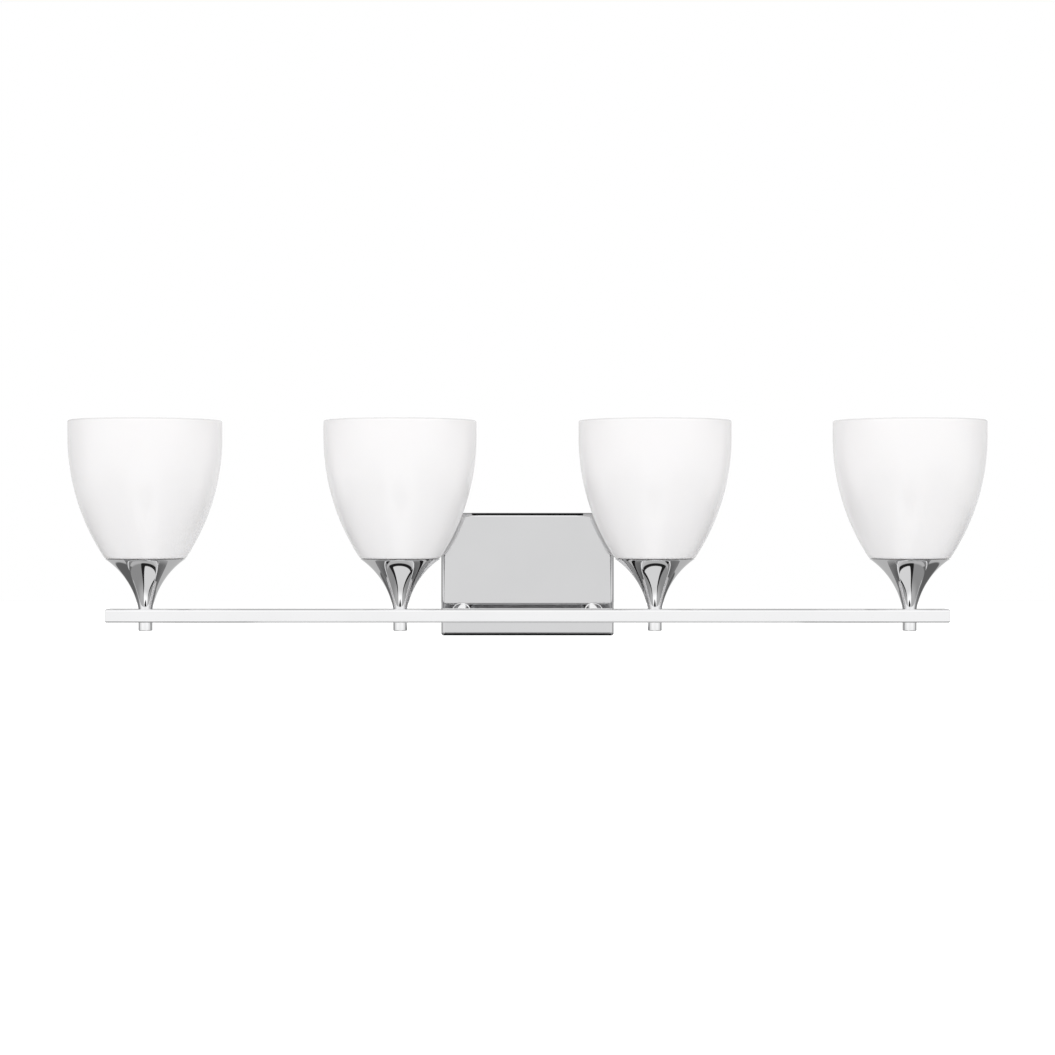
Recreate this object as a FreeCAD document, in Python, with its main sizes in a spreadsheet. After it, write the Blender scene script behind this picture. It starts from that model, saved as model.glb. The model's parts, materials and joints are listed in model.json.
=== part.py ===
"""Four-lamp vanity light bar: chrome backplate, two arms, a slim hollow bar and four upward glass shades.

Frame: millimetres, +Z up, +X to the viewer's right, the room on the -Y side. The origin is the centre of
the backplate on the wall. Each lamp's own pieces are drawn about the Z axis with z = 0 on the bar's top face.
"""
import FreeCAD, Part
import os
import Sketcher
from FreeCAD import Placement, Rotation, Vector
from math import tan

# ------------------------------------------------------------------ driving dimensions
# alias: (millimetres, what it measures)
DIMENSIONS = {
    "lamp_pitch": (242.0, "from one lamp's axis to the next"),
    "reach": (100.0, "from the wall to the lamps' axes"),
    "bar_drop": (37.0, "bar's centre line below the backplate's centre"),
    "bar_length": (798.4, "over both end caps"),
    "bar_height": (12.7, "bar, top to bottom"),
    "bar_depth": (25.4, "bar, front to back"),
    "bar_wall": (1.2, "bar's sheet"),
    "bar_edge": (1.8, "radius of the bar's long edges"),
    "cap_length": (2.4, "visible length of an end cap"),
    "cap_plug": (6.0, "length of an end cap's plug inside the bar"),
    "plate_width": (170.0, "backplate, side to side"),
    "plate_height": (121.0, "backplate, top to bottom"),
    "plate_depth": (22.0, "backplate, front face to wall"),
    "plate_wall": (1.2, "backplate's sheet"),
    "plate_edge": (3.9, "radius of the backplate's front edge"),
    "plate_corner": (2.4, "radius of the backplate's four corners"),
    "arm_spacing": (130.0, "between the arms' axes"),
    "arm_radius": (6.0, "arm tube, outside"),
    "flange_radius": (9.5, "flange where an arm meets the backplate"),
    "flange_thickness": (3.0, "the same flange"),
    "nipple_radius": (4.85, "threaded tube, outside"),
    "nipple_bore": (3.4, "threaded tube, inside"),
    "nipple_hole": (5.0, "clearance hole for the threaded tube"),
    "arm_nipple_length": (22.0, "threaded tube that draws an arm to the backplate"),
    "arm_nipple_grip": (15.0, "how much of that tube is inside the arm"),
    "wire_hole": (4.3, "radius of a hole in the bar's back, where an arm's leads come in"),
    "nut_flats": (14.0, "hexagon nut, across its flats"),
    "nut_thickness": (3.0, "hexagon nut"),
    "holder_height": (47.5, "trumpet holder, bar to rim"),
    "holder_foot": (6.7, "trumpet's radius at the bar"),
    "holder_rim": (38.0, "trumpet's radius at the rim"),
    "holder_flare": (74.0, "radius of the trumpet's curved side"),
    "holder_wall": (1.5, "trumpet's wall"),
    "holder_boss": (16.0, "height of the trumpet's solid foot"),
    "seat_radius": (31.0, "plate under the glass"),
    "seat_thickness": (1.5, "the same plate and the gasket on it"),
    "shade_gap": (0.3, "between pieces that come apart"),
    "snug_gap": (0.05, "round a thread or a plug that is done up tight"),
    "shade_radius": (72.5, "glass, widest"),
    "shade_height": (131.2, "glass, floor to rim"),
    "shade_straight": (16.0, "straight upper part of the glass"),
    "shade_curve": (209.0, "radius of the glass's curved side"),
    "shade_wall": (3.5, "glass"),
    "shade_floor": (4.0, "glass floor"),
    "shade_heel": (3.0, "outer radius where the floor turns into the side"),
    "fitter_hole": (20.5, "radius of the hole in the glass floor"),
    "socket_foot": (16.0, "socket body's radius below the glass"),
    "socket_thread": (19.0, "radius of the socket's outer thread"),
    "socket_base": (29.0, "underside of the socket above the bar"),
    "socket_floor": (5.0, "thickness of the socket's floor"),
    "socket_top": (68.0, "top of the socket above the bar"),
    "socket_bore": (15.4, "radius inside the socket body"),
    "bushing_radius": (8.0, "socket bushing's neck"),
    "bushing_flange": (12.0, "socket bushing's flange"),
    "bushing_height": (6.0, "socket bushing"),
    "contact_radius": (7.0, "foot of the centre contact"),
    "contact_height": (4.0, "from the socket's floor to the bulb's tip"),
    "shell_radius": (15.2, "screw shell, outside"),
    "shell_bore": (13.6, "screw shell, inside"),
    "ring_radius": (27.0, "shade ring, outside"),
    "ring_height": (6.0, "shade ring"),
    "bulb_radius": (30.0, "bulb, widest"),
    "bulb_length": (108.0, "bulb, over all"),
    "bulb_cap_radius": (13.1, "bulb's screw cap"),
    "bulb_cap_length": (28.0, "bulb's cap with its contact"),
    "bulb_tip": (6.0, "bulb's contact and insulator below the screw cap"),
    "bulb_neck": (30.0, "radius of the bulb's hollow neck curve"),
    "pin_radius": (6.7, "cap nut under the bar"),
    "pin_length": (8.1, "the same cap nut"),
    "pin_edge": (0.8, "rounding of the cap nut's end"),
    "pin_floor": (1.8, "metal below the cap nut's blind hole"),
    "strap_thickness": (1.6, "mounting bracket's sheet"),
    "strap_height": (30.0, "mounting bracket's strap"),
    "strap_width": (166.4, "mounting bracket over its ears"),
    "ear_depth": (14.0, "how far the ears stand off the wall"),
    "ear_drop": (48.0, "how far the ears reach below the centre"),
    "slot_spacing": (88.9, "between the box screws"),
    "slot_length": (20.0, "slot for a box screw, end to end"),
    "slot_radius": (2.5, "half the slot's width"),
    "side_screw_drop": (41.0, "side screws below the centre"),
    "side_screw_radius": (2.0, "side screw's shank"),
    "side_screw_length": (6.0, "the same shank"),
    "side_screw_head": (3.6, "radius of its head"),
    "side_screw_head_height": (2.2, "the same head"),
    "screw_clearance": (0.25, "between a screw and the hole that it passes"),
    "ground_screw_head": (4.0, "radius of the ground screw's head"),
    "ground_screw_head_height": (2.4, "the same head"),
    "ground_wire_radius": (0.8, "bare ground wire"),
    "lead_radius": (0.9, "insulated lead"),
    "lead_spread": (1.5, "half the distance between leads side by side"),
    "lead_bend": (4.0, "radius of a lead's bends"),
    "wire_nut_height": (17.0, "twist-on wire nut"),
    "wire_nut_radius": (6.0, "its open end, outside"),
    "wire_nut_bore": (4.2, "its open end, inside"),
}
LAMP_COUNT = 4
LAMP_NAMES = ("outer_left", "inner_left", "inner_right", "outer_right")
SIDES = {"left": -1, "right": 1}
PARTS_FOLDER = "parts"

doc = FreeCAD.newDocument("vanity_light_bar")
sheet = doc.addObject("Spreadsheet::Sheet", "Dimensions")


class Size:
    """A length worked out from the sheet: its value, and the expression that keeps it bound."""

    def __init__(self, value, text):
        self.value = float(value)
        self.text = text

    def __add__(self, other):
        other = as_size(other)
        return Size(self.value + other.value, f"({self.text} + {other.text})")

    def __sub__(self, other):
        other = as_size(other)
        return Size(self.value - other.value, f"({self.text} - {other.text})")

    def __mul__(self, other):
        other = as_size(other)
        return Size(self.value * other.value, f"({self.text} * {other.text})")

    def __truediv__(self, other):
        other = as_size(other)
        return Size(self.value / other.value, f"({self.text} / {other.text})")

    def __neg__(self):
        return Size(-self.value, f"(0 - {self.text})")

    __radd__ = __add__

    def __rsub__(self, other):
        return as_size(other) - self

    def __rmul__(self, other):
        return self * other


def as_size(value):
    return value if isinstance(value, Size) else Size(value, repr(float(value)))


def root(size):
    return Size(size.value ** 0.5, f"sqrt({size.text})")


def fill_sheet():
    """Write every dimension to the sheet and return it by name."""
    for row, (alias, (value, note)) in enumerate(DIMENSIONS.items(), start=1):
        sheet.set(f"A{row}", note)
        sheet.set(f"B{row}", str(value))
        sheet.setAlias(f"B{row}", alias)
    doc.recompute()
    return {alias: Size(value, f"Dimensions.{alias}") for alias, (value, _) in DIMENSIONS.items()}


D = fill_sheet()
nodes = []


# ------------------------------------------------------------------ helpers
def bind(thing, **sizes):
    """Bind an object's properties, such as Length=..., to the sheet."""
    for name, size in sizes.items():
        size = as_size(size)
        setattr(thing, name, size.value)
        thing.setExpression(name, size.text)


def place(thing, x=0, y=0, z=0, turn=None):
    """Put an object at a point of the frame, with its position bound to the sheet."""
    where = [as_size(v) for v in (x, y, z)]
    thing.Placement = Placement(Vector(*[v.value for v in where]), turn or Rotation())
    for axis, size in zip("xyz", where):
        thing.setExpression(f".Placement.Base.{axis}", size.text)
    return thing


def node(thing, label):
    """Name a finished piece and keep it for the export."""
    thing.Label = label
    nodes.append(thing)
    return thing


def box(name, size_x, size_y, size_z, x=0, y=0, z=0):
    """A block centred on x and z, running from y towards the wall."""
    block = doc.addObject("Part::Box", name)
    bind(block, Length=size_x, Width=size_y, Height=size_z)
    return place(block, as_size(x) - as_size(size_x) / 2, y, as_size(z) - as_size(size_z) / 2)


def rod(name, radius, length, x=0, y=0, z=0, turn=None):
    """A round bar that starts at the point and runs up, or along the turned Z axis."""
    bar = doc.addObject("Part::Cylinder", name)
    bind(bar, Radius=radius, Height=length)
    return place(bar, x, y, z, turn)


ALONG_Y = Rotation(Vector(1, 0, 0), -90)
ALONG_X = Rotation(Vector(0, 1, 0), 90)


def cut(name, base, *tools):
    """Base less its tools, one after another."""
    for index, tool in enumerate(tools):
        result = doc.addObject("Part::Cut", f"{name}_cut_{index}")
        result.Base = base
        result.Tool = tool
        base = result
    return base


def fuse(name, *pieces):
    joined = doc.addObject("Part::MultiFuse", name)
    joined.Shapes = list(pieces)
    return joined


def group(label, pieces):
    """Identical fasteners as one node of separate solids."""
    together = doc.addObject("Part::Compound", label)
    together.Links = pieces
    return node(together, label)


def origin_plane(body, role):
    return next(f for f in body.Origin.OriginFeatures if f.Role == role)


def new_sketch(body, name, role="XZ_Plane"):
    sketch = body.newObject("Sketcher::SketchObject", name)
    sketch.AttachmentSupport = [(origin_plane(body, role), "")]
    sketch.MapMode = "FlatFace"
    return sketch


def arc_middle(start, end, radius, side):
    """The middle of an arc that bulges to the left (1) or right (-1) of the way from start to end."""
    chord = end - start
    half = chord.Length / 2
    rise = radius - max(radius ** 2 - half ** 2, 0) ** 0.5
    left = Vector(-chord.y, chord.x, 0).normalize()
    return (start + end) / 2 + left * rise * side


def draw_outline(sketch, corners):
    """Close an outline through its corners, with every corner and radius bound to the sheet.

    A corner is (x, y), or (x, y, radius, side) where an arc ends, side as in arc_middle.
    """
    points = [Vector(as_size(c[0]).value, as_size(c[1]).value, 0) for c in corners]
    ends = []
    for index, corner in enumerate(corners):
        start = points[index - 1]
        end = points[index]
        if len(corner) == 4:
            middle = arc_middle(start, end, as_size(corner[2]).value, corner[3])
            edge = sketch.addGeometry(Part.Arc(start, middle, end), False)
            ends.append((edge, 2 if sketch.getPoint(edge, 2).isEqual(end, 1e-6) else 1))
            rule = sketch.addConstraint(Sketcher.Constraint("Radius", edge, as_size(corner[2]).value))
            sketch.setExpression(f"Constraints[{rule}]", as_size(corner[2]).text)
        else:
            edge = sketch.addGeometry(Part.LineSegment(start, end), False)
            ends.append((edge, 2))
    for index, corner in enumerate(corners):
        edge, point = ends[index]
        following, point_after = ends[(index + 1) % len(corners)]
        start_after = 3 - point_after
        sketch.addConstraint(Sketcher.Constraint("Coincident", edge, point, following, start_after))
        for axis, size in zip("XY", corner):
            size = as_size(size)
            rule = sketch.addConstraint(Sketcher.Constraint(f"Distance{axis}", edge, point, size.value))
            sketch.setExpression(f"Constraints[{rule}]", size.text)


def rounded_rectangle(half_x, half_y, radius):
    """Corners of a centred rectangle whose four corners are arcs."""
    near_x = half_x - radius
    near_y = half_y - radius
    return [(-near_x, -half_y, radius, -1), (near_x, -half_y),
            (half_x, -near_y, radius, -1), (half_x, near_y),
            (near_x, half_y, radius, -1), (-near_x, half_y),
            (-half_x, near_y, radius, -1), (-half_x, -near_y)]


def turned(label, corners, x=0, y=0, z=0, turn=None):
    """A body turned about its own Z axis from an outline of (radius, height) corners."""
    body = doc.addObject("PartDesign::Body", label)
    sketch = new_sketch(body, f"{label}_outline")
    draw_outline(sketch, corners)
    solid = body.newObject("PartDesign::Revolution", f"{label}_turned")
    solid.Profile = sketch
    solid.ReferenceAxis = (sketch, ["V_Axis"])
    solid.Angle = 360.0
    body.Tip = solid
    return place(body, x, y, z, turn)


def round_edges(body, name, radius, chosen):
    """Fillet the edges of a body that the test chosen(edge) picks."""
    doc.recompute()
    tip = body.Tip
    picked = [f"Edge{i}" for i, edge in enumerate(tip.Shape.Edges, start=1) if chosen(edge)]
    fillet = body.newObject("PartDesign::Fillet", name)
    fillet.Base = (tip, picked)
    bind(fillet, Radius=radius)
    body.Tip = fillet
    doc.recompute()


def hexagon_nut(name, x, y, z, turn=None):
    """A plain nut with its threaded hole, lying on the point."""
    blank = doc.addObject("Part::Prism", f"{name}_blank")
    blank.Polygon = 6
    bind(blank, Circumradius=D["nut_flats"] / 3 ** 0.5, Height=D["nut_thickness"])
    place(blank, x, y, z, turn)
    hole = rod(f"{name}_hole", D["nipple_radius"], D["nut_thickness"], x, y, z, turn)
    return cut(name, blank, hole)


def threaded_tube(name, length, x, y, z, turn=None):
    tube = rod(f"{name}_tube", D["nipple_radius"], length, x, y, z, turn)
    bore = rod(f"{name}_bore", D["nipple_bore"], length, x, y, z, turn)
    return cut(name, tube, bore)


# ------------------------------------------------------------------ places that several pieces share
BAR_TOP = D["bar_height"] / 2 - D["bar_drop"]
BAR_BACK = -D["reach"] + D["bar_depth"] / 2
PLATE_FACE_INSIDE = D["plate_wall"] - D["plate_depth"]
FLANGE_FRONT = -D["plate_depth"] - D["flange_thickness"]
SEAT_TOP = D["holder_height"] - D["seat_thickness"]
GLASS_FLOOR = D["holder_height"] + D["shade_gap"]
SOCKET_FLOOR_TOP = D["socket_base"] + D["socket_floor"]
SIDE_SCREW_Y = -(D["strap_thickness"] + D["ear_depth"]) / 2
GROUND_X = -D["slot_spacing"] / 4
WIRE_NUTS = {"hot": (-12.0, -12.0), "neutral": (12.0, -8.0)}    # x and y of each wire nut's axis
WIRE_NUT_LOW = 34.0


def lamp_x(index):
    return D["lamp_pitch"] * (index - (LAMP_COUNT - 1) / 2)


# ------------------------------------------------------------------ backplate and mounting bracket
def make_backplate():
    """A shallow pan with a rounded front edge, open to the wall, pierced for the arms and side screws."""
    body = doc.addObject("PartDesign::Body", "backplate_pan")
    half_width = D["plate_width"] / 2
    half_height = D["plate_height"] / 2
    sketch = new_sketch(body, "backplate_outline")
    draw_outline(sketch, [(-half_width, -half_height), (half_width, -half_height),
                          (half_width, half_height), (-half_width, half_height)])
    pad = body.newObject("PartDesign::Pad", "backplate_pad")
    pad.Profile = sketch
    bind(pad, Length=D["plate_depth"])
    body.Tip = pad
    doc.recompute()
    if body.Shape.BoundBox.YMax > 1:
        pad.Reversed = True
    depth = D["plate_depth"].value
    round_edges(body, "backplate_corners", D["plate_corner"],
                lambda e: abs(e.Length - depth) < 1e-3)
    round_edges(body, "backplate_front", D["plate_edge"],
                lambda e: e.BoundBox.YMax < 1e-3 - depth)
    hollow = new_sketch(body, "backplate_hollow")
    inner_width = half_width - D["plate_wall"]
    inner_height = half_height - D["plate_wall"]
    draw_outline(hollow, rounded_rectangle(inner_width, inner_height, D["plate_edge"]))
    full = body.Tip.Shape.Volume
    pocket = body.newObject("PartDesign::Pocket", "backplate_inside")
    pocket.Profile = hollow
    bind(pocket, Length=-PLATE_FACE_INSIDE)
    body.Tip = pocket
    doc.recompute()
    if pocket.Shape.isNull() or pocket.Shape.Volume > full / 2:
        pocket.Reversed = True
    inside = PLATE_FACE_INSIDE.value
    round_edges(body, "backplate_inside_edge", D["plate_edge"] / 2,
                lambda e: abs(e.BoundBox.YMin - inside) < 1e-3 and e.BoundBox.YLength < 1e-3)
    holes = []
    for side, sign in SIDES.items():
        holes.append(rod(f"arm_hole_{side}", D["nipple_hole"], D["plate_depth"],
                         D["arm_spacing"] / 2 * sign, -D["plate_depth"] * 1.5, -D["bar_drop"], ALONG_Y))
        holes.append(rod(f"screw_hole_{side}", D["side_screw_radius"] + D["screw_clearance"],
                         D["plate_wall"] * 4, half_width * sign - D["plate_wall"] * 2,
                         SIDE_SCREW_Y, -D["side_screw_drop"], ALONG_X))
    node(cut("backplate_shell", body, *holes), "backplate")


def slot(name, x):
    """A cutter for one slot along X, through the strap."""
    through = D["strap_thickness"] * 3
    start = -D["strap_thickness"] * 2
    run = D["slot_length"] / 2 - D["slot_radius"]
    ends = [rod(f"{name}_end_{k}", D["slot_radius"], through, x + run * k, start, 0, ALONG_Y)
            for k in (-1, 1)]
    middle = box(f"{name}_middle", run * 2, through, D["slot_radius"] * 2, x, start, 0)
    return fuse(name, middle, *ends)


def make_bracket():
    """A strap with slots for the box screws and long ears, bent forward, for the backplate's side screws."""
    sheet_thickness = D["strap_thickness"]
    strap = box("strap", D["strap_width"], sheet_thickness, D["strap_height"], 0, -sheet_thickness, 0)
    ear_height = D["ear_drop"] + D["strap_height"] / 2
    ear_middle = (D["strap_height"] / 2 - D["ear_drop"]) / 2
    ears = []
    holes = [slot("slot_left", -D["slot_spacing"] / 2), slot("slot_right", D["slot_spacing"] / 2)]
    holes.append(rod("ground_screw_hole", D["side_screw_radius"], sheet_thickness * 3,
                     GROUND_X, -sheet_thickness * 2, 0, ALONG_Y))
    for side, sign in SIDES.items():
        ear_x = (D["strap_width"] - sheet_thickness) / 2 * sign
        ears.append(box(f"ear_{side}", sheet_thickness, D["ear_depth"], ear_height,
                        ear_x, -D["ear_depth"], ear_middle))
        holes.append(rod(f"ear_hole_{side}", D["side_screw_radius"], sheet_thickness * 4,
                         ear_x - sheet_thickness * 2, SIDE_SCREW_Y, -D["side_screw_drop"], ALONG_X))
    node(cut("bracket", fuse("bracket_blank", strap, *ears), *holes), "mounting_bracket")


def screw_outline(shank, length, head, head_height):
    """A pan-head screw with its shank up the Z axis and its head below z = 0."""
    crown = head_height / 2
    return [(0, -head_height), (head - crown, -head_height), (head, -crown, crown, -1), (head, 0),
            (shank, 0), (shank, length), (0, length)]


def make_backplate_screws():
    """Two screws through the backplate's sides into the bracket's ears."""
    screws = []
    for side, sign in SIDES.items():
        outline = screw_outline(D["side_screw_radius"] - D["snug_gap"], D["side_screw_length"],
                                D["side_screw_head"], D["side_screw_head_height"])
        screws.append(turned(f"side_screw_{side}", outline, D["plate_width"] / 2 * sign, SIDE_SCREW_Y,
                             -D["side_screw_drop"], Rotation(Vector(0, 1, 0), -90 * sign)))
    group("backplate_screws", screws)


# ------------------------------------------------------------------ arms
def make_arms():
    """Each arm is a tube on a round flange, drawn up by a threaded tube and a nut inside the backplate."""
    tubes = []
    nuts = []
    for side, sign in SIDES.items():
        x = D["arm_spacing"] / 2 * sign
        z = -D["bar_drop"]
        length = FLANGE_FRONT - BAR_BACK
        outside = rod(f"arm_{side}_outside", D["arm_radius"], length, x, BAR_BACK, z, ALONG_Y)
        inside = rod(f"arm_{side}_inside", D["nipple_radius"] + D["snug_gap"], length,
                     x, BAR_BACK, z, ALONG_Y)
        node(cut(f"arm_{side}_tube", outside, inside), f"arm_{side}")
        corner = D["flange_thickness"] / 3
        flange = turned(f"flange_{side}", [
            (D["nipple_hole"], 0), (D["flange_radius"] - corner, 0),
            (D["flange_radius"], corner, corner, -1), (D["flange_radius"], D["flange_thickness"]),
            (D["nipple_hole"], D["flange_thickness"])], x, FLANGE_FRONT, z, ALONG_Y)
        node(flange, f"arm_flange_{side}")
        tubes.append(threaded_tube(f"arm_nipple_{side}", D["arm_nipple_length"], x,
                                   FLANGE_FRONT - D["arm_nipple_grip"], z, ALONG_Y))
        nuts.append(hexagon_nut(f"arm_nut_{side}", x, PLATE_FACE_INSIDE, z, ALONG_Y))
    group("arm_nipples", tubes)
    group("arm_nuts", nuts)


# ------------------------------------------------------------------ bar
def block_with_round_edges(name, size_x, size_y, size_z, radius, x):
    """A block along X on the bar's centre line, its four long edges rounded."""
    body = doc.addObject("PartDesign::Body", name)
    sketch = new_sketch(body, f"{name}_section", "YZ_Plane")
    half_y = as_size(size_y) / 2
    half_z = as_size(size_z) / 2
    draw_outline(sketch, [(-half_y, -half_z), (half_y, -half_z), (half_y, half_z), (-half_y, half_z)])
    pad = body.newObject("PartDesign::Pad", f"{name}_pad")
    pad.Profile = sketch
    bind(pad, Length=size_x)
    pad.Midplane = True
    body.Tip = pad
    length = as_size(size_x).value
    round_edges(body, f"{name}_edges", radius,
                lambda e: abs(e.Length - length) < 1e-3 and e.BoundBox.XLength > length - 1e-3)
    return place(body, x, -D["reach"], -D["bar_drop"])


def make_bar():
    """A hollow rectangular bar, drilled at each lamp and at each arm, with a cap in each end."""
    tube_length = D["bar_length"] - D["cap_length"] * 2
    inner_depth = D["bar_depth"] - D["bar_wall"] * 2
    inner_height = D["bar_height"] - D["bar_wall"] * 2
    outside = block_with_round_edges("bar_outside", tube_length, D["bar_depth"], D["bar_height"],
                                     D["bar_edge"], 0)
    inside = box("bar_inside", D["bar_length"], inner_depth, inner_height,
                 0, -D["reach"] - inner_depth / 2, -D["bar_drop"])
    holes = [rod(f"lamp_hole_{index}", D["nipple_hole"], D["bar_height"] * 2,
                 lamp_x(index), -D["reach"], BAR_TOP - D["bar_height"] * 1.5) for index in range(LAMP_COUNT)]
    for side, sign in SIDES.items():
        holes.append(rod(f"bar_wire_hole_{side}", D["wire_hole"], D["bar_depth"] / 2,
                         D["arm_spacing"] / 2 * sign, -D["reach"] + D["bar_depth"] / 4,
                         -D["bar_drop"], ALONG_Y))
    node(cut("bar_drilled", outside, inside, *holes), "bar_tube")
    for side, sign in SIDES.items():
        cap_x = (D["bar_length"] - D["cap_length"]) / 2 * sign
        plug_x = (tube_length - D["cap_plug"]) / 2 * sign
        cap = block_with_round_edges(f"cap_{side}", D["cap_length"], D["bar_depth"], D["bar_height"],
                                     D["bar_edge"], cap_x)
        end = (D["bar_length"] / 2 * sign).value - cap.Placement.Base.x
        round_edges(cap, f"cap_{side}_end", D["bar_edge"] / 2,
                    lambda e: abs(e.BoundBox.XMin - end) < 1e-3 and abs(e.BoundBox.XMax - end) < 1e-3)
        plug = box(f"plug_{side}", D["cap_plug"], inner_depth - D["snug_gap"] * 2,
                   inner_height - D["snug_gap"] * 2, plug_x,
                   -D["reach"] - inner_depth / 2 + D["snug_gap"], -D["bar_drop"])
        node(fuse(f"end_cap_{side}", cap, plug), f"bar_end_cap_{side}")


# ------------------------------------------------------------------ lamps
def flare_centre():
    """Centre of the trumpet's side, which passes through the foot's and the rim's edges."""
    across = D["holder_rim"] - D["holder_foot"]
    chord_squared = across * across + D["holder_height"] * D["holder_height"]
    offset = root((D["holder_flare"] * D["holder_flare"] - chord_squared / 4) / chord_squared)
    return ((D["holder_foot"] + D["holder_rim"]) / 2 + D["holder_height"] * offset,
            D["holder_height"] / 2 - across * offset)


def flare_inside(height):
    """The trumpet's inside radius at a height."""
    centre_r, centre_z = flare_centre()
    radius = D["holder_flare"] + D["holder_wall"]
    rise = as_size(height) - centre_z
    return centre_r - root(radius * radius - rise * rise)


def holder_outline():
    lip = 0.6
    return [(D["nipple_hole"], 0), (D["holder_foot"], 0),
            (D["holder_rim"], D["holder_height"], D["holder_flare"], 1),
            (flare_inside(D["holder_height"]) + lip, D["holder_height"]),
            (flare_inside(D["holder_height"] - lip), D["holder_height"] - lip),
            (flare_inside(D["holder_boss"]), D["holder_boss"], D["holder_flare"] + D["holder_wall"], -1),
            (D["nipple_hole"], D["holder_boss"])]


def shade_outline():
    """A deep tumbler: flat floor with a hole, a long curved side and a short straight top."""
    top = D["shade_height"]
    tangent = D["shade_height"] - D["shade_straight"]
    centre_r = D["shade_radius"] - D["shade_curve"]
    heel = D["shade_heel"]
    reach_out = D["shade_curve"] - heel
    heel_r = centre_r + root(reach_out * reach_out - (tangent - heel) * (tangent - heel))
    heel_end_r = centre_r + (heel_r - centre_r) * D["shade_curve"] / reach_out
    heel_end_z = tangent - (tangent - heel) * D["shade_curve"] / reach_out
    inner = D["shade_curve"] - D["shade_wall"]
    floor = D["shade_floor"]
    floor_r = centre_r + root(inner * inner - (tangent - floor) * (tangent - floor))
    lip = D["shade_wall"] / 2
    inside_r = D["shade_radius"] - D["shade_wall"]
    edge = 0.5
    return [(D["fitter_hole"], edge), (D["fitter_hole"] + edge, 0), (heel_r, 0),
            (heel_end_r, heel_end_z, heel, -1),
            (D["shade_radius"], tangent, D["shade_curve"], -1),
            (D["shade_radius"], top - lip),
            (D["shade_radius"] - lip, top, lip, -1),
            (inside_r, top - lip, lip, -1),
            (inside_r, tangent),
            (floor_r, floor, inner, 1),
            (D["fitter_hole"] + edge, floor), (D["fitter_hole"], floor - edge)]


def thread_outline(root_radius, crest_radius, start, pitch, turns):
    """Rounded ridges up a turned surface, two corners to a ridge."""
    corners = []
    for ridge in range(turns):
        low = start + pitch * ridge
        corners.append((crest_radius, low + pitch * 0.5))
        corners.append((root_radius, low + pitch))
    return corners


def socket_outline():
    ridge = 0.5
    pitch = 2.0
    thread_start = SEAT_TOP
    turns = 10
    return [(D["nipple_hole"], D["socket_base"]), (D["socket_foot"], D["socket_base"]),
            (D["socket_foot"], SEAT_TOP), (D["socket_thread"] - ridge, SEAT_TOP),
            *thread_outline(D["socket_thread"] - ridge, D["socket_thread"], thread_start, pitch, turns),
            (D["socket_thread"] - ridge, D["socket_top"]), (D["socket_bore"], D["socket_top"]),
            (D["socket_bore"], D["socket_base"] + D["socket_floor"]),
            (D["nipple_hole"], D["socket_base"] + D["socket_floor"])]


def bulb_cap_outline(base):
    """Contact button, insulating cone and a screw cap with five rounded threads."""
    button = 4.5
    button_height = 1.6
    button_edge = 1.0
    cone = 9.0
    cone_height = 4.0
    ridge = 0.5
    pitch = 3.6
    turns = 5
    cap_start = base + D["bulb_tip"]
    radius = D["bulb_cap_radius"]
    return [(0, base), (button - button_edge, base), (button, base + button_edge),
            (button, base + button_height), (cone, base + cone_height), (radius - ridge, cap_start),
            *thread_outline(radius - ridge, radius, cap_start, pitch, turns),
            (radius - ridge, base + D["bulb_cap_length"]), (0, base + D["bulb_cap_length"])]


def bulb_glass_outline(base):
    """A pear shape: the neck's hollow curve runs into the round head."""
    neck = D["bulb_neck"]
    head = D["bulb_radius"]
    start = base + D["bulb_cap_length"]
    step_in = 0.8
    start_r = D["bulb_cap_radius"] - step_in
    head_z = base + D["bulb_length"] - head
    across = start_r + neck
    rise = root((neck + head) * (neck + head) - across * across)
    share = head / (head + neck)
    low_z = head_z - rise
    return [(0, start), (start_r, start), (start_r, low_z),
            (across * share, head_z - rise * share, neck, 1),
            (head, head_z, head, -1), (0, head_z + head, head, -1)]


def pin_outline():
    """Cap nut below the bar, blind from above, its lower edge rounded."""
    low = -D["bar_height"] - D["pin_length"]
    edge = D["pin_edge"]
    bore_end = low + D["pin_floor"]
    return [(0, low), (D["pin_radius"] - edge, low), (D["pin_radius"], low + edge, edge, -1),
            (D["pin_radius"], -D["bar_height"]), (D["nipple_radius"], -D["bar_height"]),
            (D["nipple_radius"], bore_end), (0, bore_end)]


def ring(inner, outer, low, high, edge=0.4):
    """A flat ring with its outer edges broken."""
    return [(inner, low), (outer - edge, low), (outer, low + edge), (outer, high - edge),
            (outer - edge, high), (inner, high)]


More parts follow.
